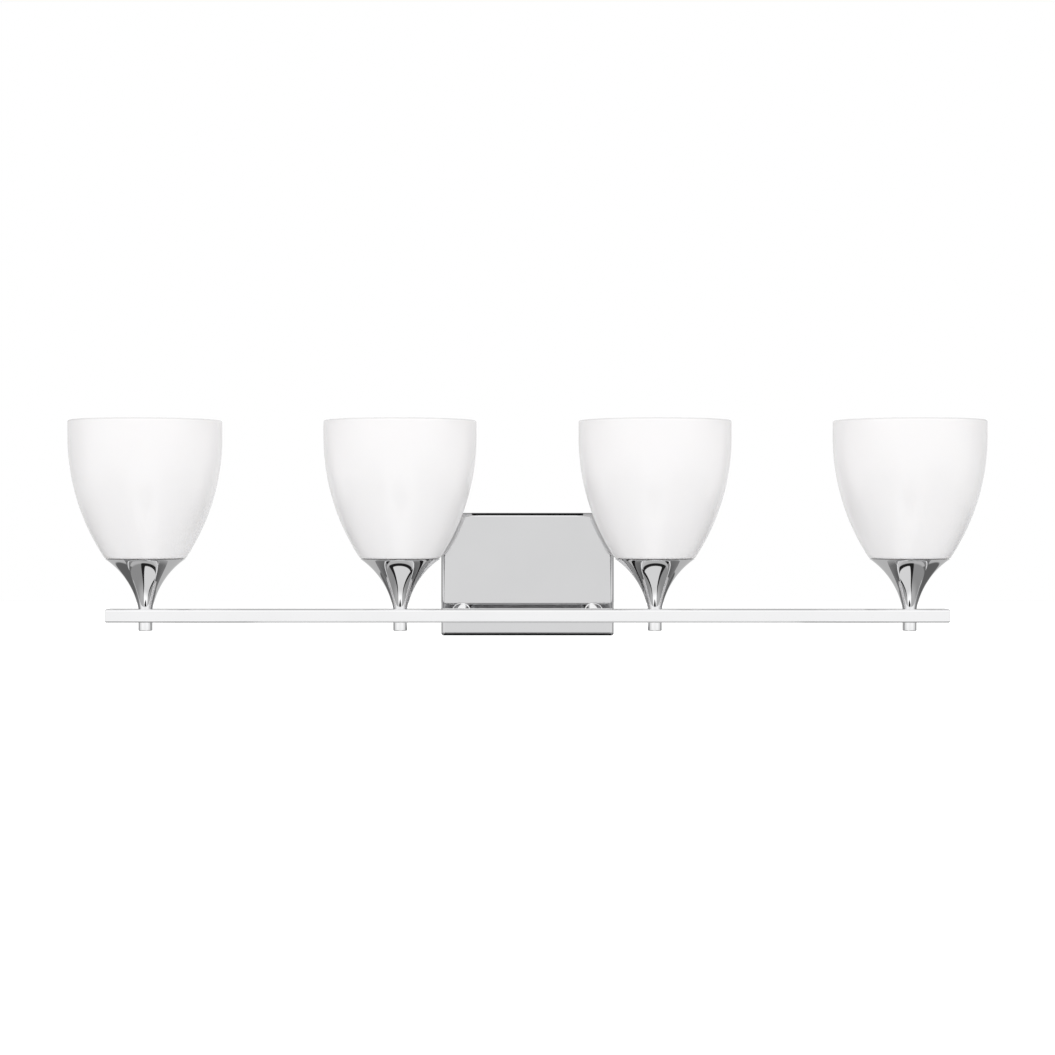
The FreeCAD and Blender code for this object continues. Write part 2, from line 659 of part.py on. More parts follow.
def make_lamp(index, name):
    """Every piece of one lamp that has a node of its own, from the bar up."""
    at = {"x": lamp_x(index), "y": -D["reach"], "z": BAR_TOP}
    bulb_base = SOCKET_FLOOR_TOP + D["contact_height"]
    shell_lift = 2.0
    shell_sink = 3.0
    ring_edge = 1.0
    ring_low = GLASS_FLOOR + D["shade_floor"] + D["shade_gap"]
    shade_at = dict(at, z=BAR_TOP + GLASS_FLOOR)
    node(turned(f"pin_{name}", pin_outline(), **at), f"pin_cap_{name}")
    node(turned(f"holder_{name}", holder_outline(), **at), f"shade_holder_{name}")
    node(turned(f"seat_{name}", ring(D["socket_foot"] + D["shade_gap"], D["seat_radius"],
                                     SEAT_TOP - D["seat_thickness"], SEAT_TOP), **at), f"shade_seat_{name}")
    node(turned(f"glass_{name}", shade_outline(), **shade_at), f"glass_shade_{name}")
    node(turned(f"ring_{name}", ring(D["socket_thread"] + D["shade_gap"], D["ring_radius"], ring_low,
                                     ring_low + D["ring_height"], ring_edge), **at), f"shade_ring_{name}")
    node(turned(f"socket_{name}", socket_outline(), **at), f"socket_body_{name}")
    node(turned(f"shell_{name}", ring(D["shell_bore"], D["shell_radius"], SOCKET_FLOOR_TOP + shell_lift,
                                      D["socket_top"] - shell_sink), **at), f"screw_shell_{name}")
    node(turned(f"bulb_cap_{name}", bulb_cap_outline(bulb_base), **at), f"bulb_base_{name}")
    node(turned(f"bulb_{name}", bulb_glass_outline(bulb_base), **at), f"bulb_glass_{name}")


def stem_nipple(name, index):
    """Threaded tube from the cap nut up into the socket's floor, with a window for the leads in the bar."""
    above_pin_floor = 0.2
    into_socket = 3.0
    window_height = 8.0
    low = BAR_TOP - D["bar_height"] - D["pin_length"] + D["pin_floor"] + above_pin_floor
    length = BAR_TOP + D["socket_base"] + into_socket - low
    tube = threaded_tube(name, length, lamp_x(index), -D["reach"], low)
    window = box(f"{name}_window", D["nipple_bore"] * 2, D["nipple_radius"] * 1.2, window_height,
                 lamp_x(index), -D["reach"], -D["bar_drop"])
    return cut(f"{name}_slotted", tube, window)


def bushing_outline():
    """The threaded bushing under a socket: a neck and a flange."""
    top = D["socket_base"]
    flange_height = D["bushing_height"] / 4
    return [(D["nipple_radius"], top - D["bushing_height"]), (D["bushing_radius"], top - D["bushing_height"]),
            (D["bushing_radius"], top - flange_height), (D["bushing_flange"], top - flange_height),
            (D["bushing_flange"], top), (D["nipple_radius"], top)]


def contact_outline():
    """The centre contact: a riveted foot and a springy cone that stops just under the bulb's tip."""
    low = SOCKET_FLOOR_TOP
    foot_height = D["contact_height"] * 0.15
    neck_height = D["contact_height"] * 0.6
    return [(0, low), (D["contact_radius"], low), (D["contact_radius"], low + foot_height),
            (D["contact_radius"] * 0.4, low + neck_height), (0, low + D["contact_height"] - D["shade_gap"])]


def make_lamp_hardware():
    """The small pieces that all four lamps repeat, one node to each kind."""
    nipples = []
    nuts = []
    bushings = []
    gaskets = []
    contacts = []
    gasket_inner = D["socket_thread"] + D["shade_gap"] * 3
    for index, name in enumerate(LAMP_NAMES):
        at = {"x": lamp_x(index), "y": -D["reach"], "z": BAR_TOP}
        nipples.append(stem_nipple(f"stem_nipple_{name}", index))
        nuts.append(hexagon_nut(f"stem_nut_{name}", at["x"], at["y"], BAR_TOP + D["holder_boss"]))
        bushings.append(turned(f"bushing_{name}", bushing_outline(), **at))
        gaskets.append(turned(f"gasket_{name}", ring(gasket_inner, D["seat_radius"], SEAT_TOP,
                                                     D["holder_height"]), **at))
        contacts.append(turned(f"contact_{name}", contact_outline(), **at))
    group("stem_nipples", nipples)
    group("stem_nuts", nuts)
    group("socket_bushings", bushings)
    group("shade_gaskets", gaskets)
    group("centre_contacts", contacts)


# ------------------------------------------------------------------ wiring
def rounded_wire(points, radius):
    """A path of straight runs joined by tangent arcs of one radius, or less where the runs are short."""
    edges = []
    start = points[0]
    for before, corner, after in zip(points, points[1:], points[2:]):
        towards = (before - corner).normalize()
        away = (after - corner).normalize()
        half_turn = towards.getAngle(away) / 2
        room = 0.45 * min((corner - before).Length, (after - corner).Length)
        setback = min(radius / tan(half_turn), room)
        arc_start = corner + towards * setback
        arc_end = corner + away * setback
        inward = (towards + away).normalize()
        arc_radius = setback * tan(half_turn)
        centre = corner + inward * (setback ** 2 + arc_radius ** 2) ** 0.5
        middle = centre - inward * arc_radius
        edges.append(Part.LineSegment(start, arc_start).toShape())
        edges.append(Part.Arc(arc_start, middle, arc_end).toShape())
        start = arc_end
    edges.append(Part.LineSegment(start, points[-1]).toShape())
    return Part.Wire(edges)


def lead_points(index, pole):
    """A lead's route: wire nut, down the backplate, along the arm, along the bar and up the stem."""
    sign = -1 if index < LAMP_COUNT / 2 else 1
    outer = index in (0, LAMP_COUNT - 1)
    step = D["lead_spread"].value
    across = step if outer else -step
    nut_x, depth = WIRE_NUTS[pole]
    in_nut_x = nut_x + sign * step * (2 if outer else 0.7)
    in_nut_z = WIRE_NUT_LOW + D["wire_nut_height"].value * 0.3
    drop_x = sign * (D["arm_spacing"].value / 2 + across)
    top_z = WIRE_NUT_LOW - D["wire_nut_height"].value / 2 + across
    level = step * (1 if pole == "hot" else -1) - D["bar_drop"].value
    trunk_y = BAR_BACK.value - D["bar_wall"].value * 4 + across
    axis_x = lamp_x(index).value + step * (-1 if pole == "hot" else 1) * sign
    axis_y = -D["reach"].value
    end_z = (BAR_TOP + SOCKET_FLOOR_TOP - D["snug_gap"]).value
    return [Vector(in_nut_x, depth, in_nut_z), Vector(in_nut_x, depth, top_z), Vector(drop_x, depth, top_z),
            Vector(drop_x, depth, level), Vector(drop_x, trunk_y, level), Vector(axis_x, trunk_y, level),
            Vector(axis_x, axis_y, level), Vector(axis_x, axis_y, end_z)]


def piped(name, points, radius, bend):
    """A round wire along its path; its volume is its section times its length."""
    path = rounded_wire(points, bend)
    start = (points[1] - points[0]).normalize()
    section = Part.Wire([Part.makeCircle(radius, points[0], start)])
    solid = path.makePipeShell([section], True, False)
    wire = doc.addObject("Part::Feature", name)
    wire.Shape = solid
    wire.Placement = Placement()
    return wire


def wire_nut_outline():
    """A twist-on cap: a short skirt, then a taper to its closed top."""
    skirt = 4.0
    wall = D["wire_nut_radius"] - D["wire_nut_bore"]
    bore_end = D["wire_nut_height"] / 2
    return [(D["wire_nut_bore"], 0), (D["wire_nut_radius"], 0), (D["wire_nut_radius"], skirt),
            (D["wire_nut_radius"] - wall * 0.8, D["wire_nut_height"]), (0, D["wire_nut_height"]),
            (0, bore_end), (D["wire_nut_bore"], bore_end)]


def ground_wire_points():
    """From under the ground screw's head, down past the strap to the left arm's nut."""
    radius = D["ground_wire_radius"].value
    clear = radius * 1.5
    strap_y = -D["strap_thickness"].value - clear
    pan_y = PLATE_FACE_INSIDE.value + clear
    head_edge = -D["ground_screw_head"].value - radius
    nut_corner = D["nut_flats"].value / 3 ** 0.5
    stop_x = nut_corner + clear - D["arm_spacing"].value / 2
    strap_edge = -D["strap_height"].value / 2
    return [Vector(GROUND_X.value, strap_y, head_edge), Vector(GROUND_X.value, strap_y, strap_edge),
            Vector(GROUND_X.value + head_edge, pan_y, strap_edge - D["ear_depth"].value),
            Vector(stop_x, pan_y, -D["bar_drop"].value)]


def make_wiring():
    """Two leads to each socket, joined under two wire nuts, and a bare ground wire to the bracket."""
    for pole in WIRE_NUTS:
        group(f"{pole}_leads", [piped(f"{pole}_lead_{name}", lead_points(index, pole), D["lead_radius"].value,
                                      D["lead_bend"].value) for index, name in enumerate(LAMP_NAMES)])
    group("wire_nuts", [turned(f"wire_nut_{pole}", wire_nut_outline(), x, y, WIRE_NUT_LOW)
                        for pole, (x, y) in WIRE_NUTS.items()])
    screw = screw_outline(D["side_screw_radius"] - D["snug_gap"], D["strap_thickness"] - D["snug_gap"],
                          D["ground_screw_head"], D["ground_screw_head_height"])
    node(turned("green_screw", screw, GROUND_X, -D["strap_thickness"], 0, ALONG_Y), "ground_screw")
    wire_bend = D["ground_wire_radius"].value * 8
    node(piped("bare_wire", ground_wire_points(), D["ground_wire_radius"].value, wire_bend), "ground_wire")


# ------------------------------------------------------------------ build, check, export
def check(thing):
    """Stop on a failed object or on a shape that isn't a sound solid."""
    if any(word in thing.State for word in ("Invalid", "Error")):
        raise RuntimeError(f"{thing.Label} failed: {thing.State}")
    if thing in nodes and (thing.Shape.isNull() or not thing.Shape.isValid() or not thing.Shape.Solids):
        raise RuntimeError(f"{thing.Label} has no valid solid")


def export():
    os.makedirs(PARTS_FOLDER, exist_ok=True)
    for thing in nodes:
        thing.Shape.exportStep(f"{PARTS_FOLDER}/{thing.Label}.step")
        bounds = thing.Shape.optimalBoundingBox(False, False)
        print(f"{thing.Label:28s} solids {len(thing.Shape.Solids)} volume {thing.Shape.Volume:11.1f} "
              f"x {bounds.XMin:7.1f} {bounds.XMax:7.1f} y {bounds.YMin:7.1f} {bounds.YMax:6.1f} "
              f"z {bounds.ZMin:6.1f} {bounds.ZMax:6.1f}")


make_backplate()
make_bracket()
make_backplate_screws()
make_arms()
make_bar()
for lamp_index, lamp_name in enumerate(LAMP_NAMES):
    make_lamp(lamp_index, lamp_name)
make_lamp_hardware()
make_wiring()
doc.recompute()
for piece in doc.Objects:
    check(piece)
export()
print(len(nodes), "nodes")
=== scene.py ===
"""Looks of the vanity light bar: opal glass shades and chrome, in a white studio."""
import json
import math
import bmesh
import bpy
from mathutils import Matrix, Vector


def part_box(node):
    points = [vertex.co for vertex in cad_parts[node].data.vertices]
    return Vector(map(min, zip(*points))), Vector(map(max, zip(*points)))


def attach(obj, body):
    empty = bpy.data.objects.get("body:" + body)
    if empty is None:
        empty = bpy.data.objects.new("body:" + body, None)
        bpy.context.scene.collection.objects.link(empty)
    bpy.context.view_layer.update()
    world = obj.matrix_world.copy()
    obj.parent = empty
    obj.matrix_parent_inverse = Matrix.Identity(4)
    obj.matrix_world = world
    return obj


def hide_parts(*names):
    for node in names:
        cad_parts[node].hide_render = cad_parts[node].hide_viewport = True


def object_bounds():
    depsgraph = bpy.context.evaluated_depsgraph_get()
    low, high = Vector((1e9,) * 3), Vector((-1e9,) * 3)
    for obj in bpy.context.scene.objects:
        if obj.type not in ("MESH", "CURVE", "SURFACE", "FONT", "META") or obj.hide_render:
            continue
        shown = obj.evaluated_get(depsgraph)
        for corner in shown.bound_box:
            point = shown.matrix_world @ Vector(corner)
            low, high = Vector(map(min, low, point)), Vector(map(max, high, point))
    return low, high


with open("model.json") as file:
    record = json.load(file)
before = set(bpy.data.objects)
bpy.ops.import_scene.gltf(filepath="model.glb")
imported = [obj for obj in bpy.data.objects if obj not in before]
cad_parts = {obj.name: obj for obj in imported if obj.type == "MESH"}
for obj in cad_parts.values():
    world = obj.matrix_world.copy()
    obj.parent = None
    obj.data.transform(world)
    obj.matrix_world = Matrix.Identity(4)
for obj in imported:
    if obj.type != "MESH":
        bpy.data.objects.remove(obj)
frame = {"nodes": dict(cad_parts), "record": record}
cad_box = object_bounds()

MM = 0.001
LAMPS = ("outer_left", "inner_left", "inner_right", "outer_right")
ROUND = 160             # steps round a turned piece


# ------------------------------------------------------------------ materials
class Recipe:
    """A node material under construction: add nodes, join them, and end at one shader."""

    def __init__(self, name):
        self.material = bpy.data.materials.new(name)
        self.material.use_nodes = True
        self.nodes = self.material.node_tree.nodes
        self.links = self.material.node_tree.links
        self.shader = self.nodes["Principled BSDF"]
        self.place = self.add("ShaderNodeTexCoord").outputs["Object"]

    def add(self, kind, **settings):
        """A node; a setting is one of its properties or, failing that, an input's value."""
        made = self.nodes.new(kind)
        for key, value in settings.items():
            if hasattr(made, key):
                setattr(made, key, value)
            else:
                made.inputs[key.replace("_", " ")].default_value = value
        return made

    def set(self, **values):
        for key, value in values.items():
            self.shader.inputs[key.replace("_", " ")].default_value = value

    def noise(self, scale, detail=3.0, stretch=(1, 1, 1)):
        """Noise in metres of the object's own frame, stretched along an axis if asked."""
        mapping = self.add("ShaderNodeMapping")
        mapping.inputs["Scale"].default_value = stretch
        self.links.new(self.place, mapping.inputs["Vector"])
        texture = self.add("ShaderNodeTexNoise", Scale=scale, Detail=detail)
        self.links.new(mapping.outputs["Vector"], texture.inputs["Vector"])
        return texture.outputs["Fac"]

    def spread(self, source, low, high, start=0.3, end=0.7):
        """Map a 0 to 1 value to a range."""
        node = self.add("ShaderNodeMapRange")
        for key, value in (("From Min", start), ("From Max", end), ("To Min", low), ("To Max", high)):
            node.inputs[key].default_value = value
        self.links.new(source, node.inputs["Value"])
        return node.outputs["Result"]

    def greater(self, first, second):
        """The larger of two values."""
        node = self.add("ShaderNodeMath", operation="MAXIMUM")
        self.links.new(first, node.inputs[0])
        self.links.new(second, node.inputs[1])
        return node.outputs[0]

    def blend(self, source, first, second):
        """Mix two colours by a value."""
        node = self.add("ShaderNodeMix", data_type="RGBA")
        node.inputs["A"].default_value = (*first, 1)
        node.inputs["B"].default_value = (*second, 1)
        self.links.new(source, node.inputs["Factor"])
        return node.outputs["Result"]

    def bump(self, source, strength, distance):
        node = self.add("ShaderNodeBump", Strength=strength, Distance=distance)
        self.links.new(source, node.inputs["Height"])
        self.links.new(node.outputs["Normal"], self.shader.inputs["Normal"])

    def drive(self, socket, source):
        self.links.new(source, self.shader.inputs[socket])


def chrome(name, tint, roughness=0.035):
    """Polished plating: clear reflections with faint wiping marks and the slightest waviness."""
    r = Recipe(name)
    r.set(Metallic=1.0)
    wipe = r.noise(55, 4, (1, 1, 0.25))
    r.drive("Roughness", r.spread(wipe, roughness * 0.7, roughness * 1.6))
    shade = tuple(c * 0.975 for c in tint)
    r.drive("Base Color", r.blend(r.spread(r.noise(18), 0, 1), tint, shade))
    r.bump(r.noise(14, 1), 0.02, 0.0006)
    return r.material


def dull_metal(name, tint, roughness, grain=(1, 1, 1)):
    """Unpolished metal: a fine grain in its roughness and colour."""
    r = Recipe(name)
    r.set(Metallic=1.0)
    grit = r.noise(900, 4, grain)
    r.drive("Roughness", r.spread(grit, roughness * 0.75, roughness * 1.3))
    r.drive("Base Color", r.blend(r.spread(r.noise(60), 0, 1), tint, tuple(c * 0.82 for c in tint)))
    r.bump(grit, 0.15, 0.0001)
    return r.material


TOP_SHADE_DEPTH = 60 * MM    # painted shade: the glass darkens over this much below the rim
RIM_SHADE_DEPTH = (1.5 * MM, 0.9 * MM)    # the rim's grey, partly clear casing and partly painted shade, starts and is full this far below the top
HEEL_SHADOW_HEIGHT = (0.4 * MM, 2.6 * MM)  # the heel's painted shadow is full and gone this far above the holder
# grey for the rim, partly clear casing and partly painted shade, and for the heel's painted shadow
RIM_AND_HEEL_SHADE_GREY = (0.8, 0.79, 0.79, 1)


def opal_glass():
    """Cased glass: a milky body under a softly glossy, slightly uneven skin; painted shade darkens the top
    and greys the heel, and the rim's grey is partly clear casing, partly painted shade.
    """
    r = Recipe("opal_glass")
    r.set(Roughness=0.32, IOR=1.5, Coat_Weight=1.0, Coat_Roughness=0.22, Coat_IOR=1.5,
          Subsurface_Weight=0.35, Subsurface_Scale=0.012, Subsurface_Radius=(1.0, 0.95, 0.9))
    split = r.add("ShaderNodeSeparateXYZ")
    r.links.new(r.place, split.inputs[0])
    height = split.outputs["Z"]
    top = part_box("glass_shade_inner_left")[1].z
    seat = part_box("shade_holder_inner_left")[1].z
    cloud = r.spread(r.noise(16, 2, (1, 1, 0.5)), 0, 0.5)
    # painted shade: the glass's colour darkens towards the top, over the random cloud
    thin = r.spread(height, 0, 1, top - TOP_SHADE_DEPTH, top)
    casing = r.blend(r.greater(cloud, thin), (0.936, 0.92, 0.922), (0.9, 0.882, 0.884))
    # the rim's grey: partly the clear casing showing at its edge, partly painted shade
    rim = r.spread(height, 0, 1, top - RIM_SHADE_DEPTH[0], top - RIM_SHADE_DEPTH[1])
    # painted shadow where the heel sits in the holder
    heel = r.spread(height, 1, 0, seat + HEEL_SHADOW_HEIGHT[0], seat + HEEL_SHADOW_HEIGHT[1])
    rim_and_heel_shade = r.add("ShaderNodeMix", data_type="RGBA")
    rim_and_heel_shade.inputs["B"].default_value = RIM_AND_HEEL_SHADE_GREY
    r.links.new(r.greater(rim, heel), rim_and_heel_shade.inputs["Factor"])
    r.links.new(casing, rim_and_heel_shade.inputs["A"])
    r.drive("Base Color", rim_and_heel_shade.outputs["Result"])
    r.bump(r.noise(22, 1, (1, 1, 0.35)), 0.03, 0.0006)
    return r.material


def frosted_glass():
    """A bulb's glass: white inside, finely etched outside."""
    r = Recipe("bulb_frost")
    r.set(IOR=1.5, Subsurface_Weight=0.3, Subsurface_Scale=0.01, Subsurface_Radius=(1, 1, 0.95))
    grit = r.noise(2600, 2)
    r.drive("Roughness", r.spread(grit, 0.38, 0.55))
    r.drive("Base Color", r.blend(r.spread(r.noise(30), 0, 1), (0.9, 0.9, 0.87), (0.87, 0.865, 0.84)))
    r.bump(grit, 0.12, 0.00005)
    return r.material


def moulded(name, first, second, roughness, coat=0.0):
    """Plastic, rubber, porcelain or enamel: mottled colour and a fine skin."""
    r = Recipe(name)
    r.set(IOR=1.48, Coat_Weight=coat, Coat_Roughness=0.06)
    skin = r.noise(700, 3)
    r.drive("Roughness", r.spread(skin, roughness * 0.8, roughness * 1.25))
    r.drive("Base Color", r.blend(r.spread(r.noise(70), 0, 1), first, second))
    r.bump(skin, 0.1, 0.00008)
    return r.material


LOOKS = {
    "bar_chrome": chrome("bar_chrome", (0.765, 0.765, 0.77)),
    "holder_chrome": chrome("holder_chrome", (0.765, 0.765, 0.77), 0.03),
    # the backplate's chrome is a darker copy of the bar's: painted shade for the greyer reflection its face
    # shows
    "plate_chrome_painted_dark": chrome("plate_chrome_painted_dark", (0.565, 0.565, 0.57), 0.04),
    "zinc_steel": dull_metal("zinc_steel", (0.62, 0.63, 0.64), 0.34),
    "opal_glass": opal_glass(),
    "white_ring": moulded("white_ring", (0.86, 0.86, 0.84), (0.8, 0.8, 0.78), 0.3, 0.3),
    "porcelain": moulded("porcelain", (0.88, 0.87, 0.84), (0.82, 0.81, 0.78), 0.2, 0.8),
    "brass_shell": dull_metal("brass_shell", (0.78, 0.6, 0.28), 0.24, (1, 1, 0.1)),
    "bulb_cap_metal": dull_metal("bulb_cap_metal", (0.8, 0.8, 0.81), 0.28, (0.1, 0.1, 1)),
    "bulb_frost": frosted_glass(),
    "clear_rubber": moulded("clear_rubber", (0.74, 0.74, 0.72), (0.68, 0.68, 0.66), 0.5),
    "black_insulation": moulded("black_insulation", (0.03, 0.03, 0.032), (0.045, 0.045, 0.048), 0.45),
    "white_insulation": moulded("white_insulation", (0.82, 0.82, 0.8), (0.76, 0.76, 0.74), 0.45),
    "orange_plastic": moulded("orange_plastic", (0.82, 0.3, 0.05), (0.74, 0.25, 0.04), 0.4),
    "green_steel": moulded("green_steel", (0.05, 0.34, 0.13), (0.04, 0.28, 0.1), 0.3),
    "bare_copper": dull_metal("bare_copper", (0.8, 0.42, 0.26), 0.3),
}


def look_for(node):
    """The material of a CAD node: its slot's, with the chrome pieces told apart."""
    slot = SLOT_OF[node]
    if slot != "chrome_plate":
        return LOOKS[slot]
    # the backplate takes the darker chrome, painted shade for its greyer reflection
    if node.startswith("backplate"):
        return LOOKS["plate_chrome_painted_dark"]
    if node.startswith(("bar", "arm", "pin")):
        return LOOKS["bar_chrome"]
    return LOOKS["holder_chrome"]


SLOT_OF = {s["node"]: s["material_slot"] for s in frame["record"]["subparts"]}


# ------------------------------------------------------------------ mesh helpers
def finish_mesh(name, mesh, nodes, body, sharp=35):
    """Shade a mesh, give it the look of the nodes that it replaces, and let it ride."""
    mesh.shade_smooth()
    mesh.set_sharp_from_angle(angle=math.radians(sharp))
    piece = bpy.data.objects.new(name, mesh)
    bpy.context.scene.collection.objects.link(piece)
    piece.data.materials.append(look_for(nodes[0]))
    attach(piece, body)
    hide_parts(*nodes)
    return piece


def arc(start, end, radius, side, steps):
    """Points after start on an arc to end that bulges to the left (1) or right (-1) of the way."""
    chord = Vector(end) - Vector(start)
    half = chord.length / 2
    left = Vector((-chord.y, chord.x)).normalized()
    depth = math.sqrt(max(radius ** 2 - half ** 2, 0))
    centre = (Vector(start) + Vector(end)) / 2 - left * depth * side
    first = Vector(start) - centre
    sweep = -side * 2 * math.asin(min(half / radius, 1))
    points = []
    for step in range(1, steps + 1):
        angle = sweep * step / steps
        turned = Vector((first.x * math.cos(angle) - first.y * math.sin(angle),
                         first.x * math.sin(angle) + first.y * math.cos(angle)))
        points.append(tuple(centre + turned))
    return points


def lathe(outline, centre):
    """A mesh turned about a vertical axis from a closed outline of (radius, height) points."""
    build = bmesh.new()
    rings = []
    for radius, height in outline:
        if radius < 1e-7:
            rings.append([build.verts.new((centre.x, centre.y, centre.z + height))])
            continue
        ring = []
        for step in range(ROUND):
            angle = 2 * math.pi * step / ROUND
            x = centre.x + radius * math.cos(angle)
            y = centre.y + radius * math.sin(angle)
            ring.append(build.verts.new((x, y, centre.z + height)))
        rings.append(ring)
    for low, high in zip(rings, rings[1:] + rings[:1]):
        for step in range(ROUND):
            corners = [low[step % len(low)], low[(step + 1) % len(low)], high[(step + 1) % len(high)],
                       high[step % len(high)]]
            corners = list(dict.fromkeys(corners))
            if len(corners) > 2:
                build.faces.new(corners)
    bmesh.ops.recalc_face_normals(build, faces=build.faces)
    mesh = bpy.data.meshes.new("turned")
    build.to_mesh(mesh)
    build.free()
    return mesh


def scaled(outline):
    """An outline given in millimetres, in metres."""
    return [(radius * MM, height * MM) for radius, height in outline]


# ------------------------------------------------------------------ turned pieces
def middle_of(node):
    """A turned node's axis at its lowest point."""
    low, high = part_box(node)
    return Vector(((low.x + high.x) / 2, (low.y + high.y) / 2, low.z))


def size_of(node):
    """A turned node's outer radius and its height, in millimetres."""
    low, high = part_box(node)
    return (high.x - low.x) / 2 / MM, (high.z - low.z) / MM


# all in millimetres
HOLDER_FOOT = 6.7       # radius where the holder stands on the bar
HOLDER_FLARE = 74.0     # radius of its outer curve
HOLDER_WALL = 1.5
HOLDER_LIP = 0.4
HOLDER_BOSS = 16.0      # solid up to this height
STEM_HOLE = 5.0
SHADE_STRAIGHT = 16.0   # height of the straight top
SHADE_CURVE = 209.0     # radius of the long side
SHADE_WALL = 3.5
SHADE_FLOOR = 4.0
SHADE_HEEL = 3.0
SHADE_SOFT = 0.5        # rounding of the hole's edges
FITTER_HOLE = 20.5
PIN_EDGE = 0.8
PIN_BORE = 4.85
PIN_BLIND = 1.8
BREAK = 0.15            # a broken sharp edge


def holder_outline(rim, height):
    """The trumpet: one hollow curve from a slim foot to a thin rim."""
    foot = (HOLDER_FOOT, 0)
    outside = [foot] + arc(foot, (rim, height), HOLDER_FLARE, 1, 40)
    half = (Vector(outside[-1]) - Vector(foot)).length / 2
    across = Vector((height, HOLDER_FOOT - rim)).normalized()
    centre = (Vector(foot) + Vector((rim, height))) / 2 + across * math.sqrt(HOLDER_FLARE ** 2 - half ** 2)

    def inside(at):
        reach = HOLDER_FLARE + HOLDER_WALL
        return centre.x - math.sqrt(reach ** 2 - (at - centre.y) ** 2)

    edge = (rim - HOLDER_LIP, height)
    top = (inside(height) + HOLDER_LIP, height)
    start = (inside(height - HOLDER_LIP), height - HOLDER_LIP)
    end = (inside(HOLDER_BOSS), HOLDER_BOSS)
    outside[-1] = (outside[-1][0], height - BREAK)
    hollow = arc(start, end, HOLDER_FLARE + HOLDER_WALL, -1, 24)
    return outside + [edge, top, start] + hollow + [(STEM_HOLE, HOLDER_BOSS), (STEM_HOLE, 0)]


def shade_outline(radius, height):
    """The tumbler: flat floor with a hole, rounded heel, long curved side, short straight top, round rim."""
    centre_r = radius - SHADE_CURVE
    tangent = height - SHADE_STRAIGHT
    reach = SHADE_CURVE - SHADE_HEEL
    heel_r = centre_r + math.sqrt(reach ** 2 - (tangent - SHADE_HEEL) ** 2)
    share = SHADE_CURVE / reach
    heel_end = (centre_r + (heel_r - centre_r) * share, tangent - (tangent - SHADE_HEEL) * share)
    inner = SHADE_CURVE - SHADE_WALL
    floor_r = centre_r + math.sqrt(inner ** 2 - (tangent - SHADE_FLOOR) ** 2)
    lip = SHADE_WALL / 2
    inside_r = radius - SHADE_WALL
    outline = [(FITTER_HOLE, SHADE_SOFT), (FITTER_HOLE + SHADE_SOFT, 0), (heel_r, 0)]
    outline += arc(outline[-1], heel_end, SHADE_HEEL, -1, 8)
    outline += arc(heel_end, (radius, tangent), SHADE_CURVE, -1, 48)
    outline += [(radius, tangent + (height - lip - tangent) * k / 4) for k in (1, 2, 3, 4)]
    outline += arc((radius, height - lip), (inside_r, height - lip), lip * 1.0001, -1, 12)
    outline += [(inside_r, tangent)]
    outline += arc((inside_r, tangent), (floor_r, SHADE_FLOOR), inner, 1, 40)
    return outline + [(FITTER_HOLE + SHADE_SOFT, SHADE_FLOOR), (FITTER_HOLE, SHADE_FLOOR - SHADE_SOFT)]


def pin_outline(radius, height):
    """Cap nut: a plain cylinder with a rounded lower edge."""
    start = (radius - PIN_EDGE, 0)
    rounding = arc(start, (radius, PIN_EDGE), PIN_EDGE, -1, 6)
    top = [(radius, height - BREAK), (radius - BREAK, height)]
    return [(0, 0), start] + rounding + top + [(PIN_BORE, height), (PIN_BORE, PIN_BLIND), (0, PIN_BLIND)]


def make_holders_and_shades():
    """Finer turned meshes for the pieces that fill the picture."""
    for lamp in LAMPS:
        for stem, outline, body in ((f"shade_holder_{lamp}", holder_outline, "root"),
                                    (f"pin_cap_{lamp}", pin_outline, "root"),
                                    (f"glass_shade_{lamp}", shade_outline, f"shade_{lamp}")):
            radius, height = size_of(stem)
            mesh = lathe(scaled(outline(radius, height)), middle_of(stem))
            finish_mesh(f"{stem}_fine", mesh, [stem], body)


# ------------------------------------------------------------------ CAD nodes that stay
def dress_cad():
    """Give every CAD node that shows its material and clean shading."""
    for name, node in frame["nodes"].items():
        node.data.materials.clear()
        node.data.materials.append(look_for(name))
        node.data.shade_smooth()
        node.data.set_sharp_from_angle(angle=math.radians(35))
        weighted = node.modifiers.new("flat_faces", "WEIGHTED_NORMAL")
        weighted.keep_sharp = True
        weighted.weight = 100


# ------------------------------------------------------------------ studio
FLOOR_DROP = 1.15       # the floor lies this far under the light
CAMERA_REACH = 2.2      # from the camera to the lamps' axes
EYE_HEIGHT = 0.062
AIM_HEIGHT = 0.0466
LAMP_Y = -0.1           # the lamps' axes
VIEW_WIDTH = 1.00225    # what the picture spans there
FLOOR_GLOW = 0.4        # lifts the floor to white for the eye only


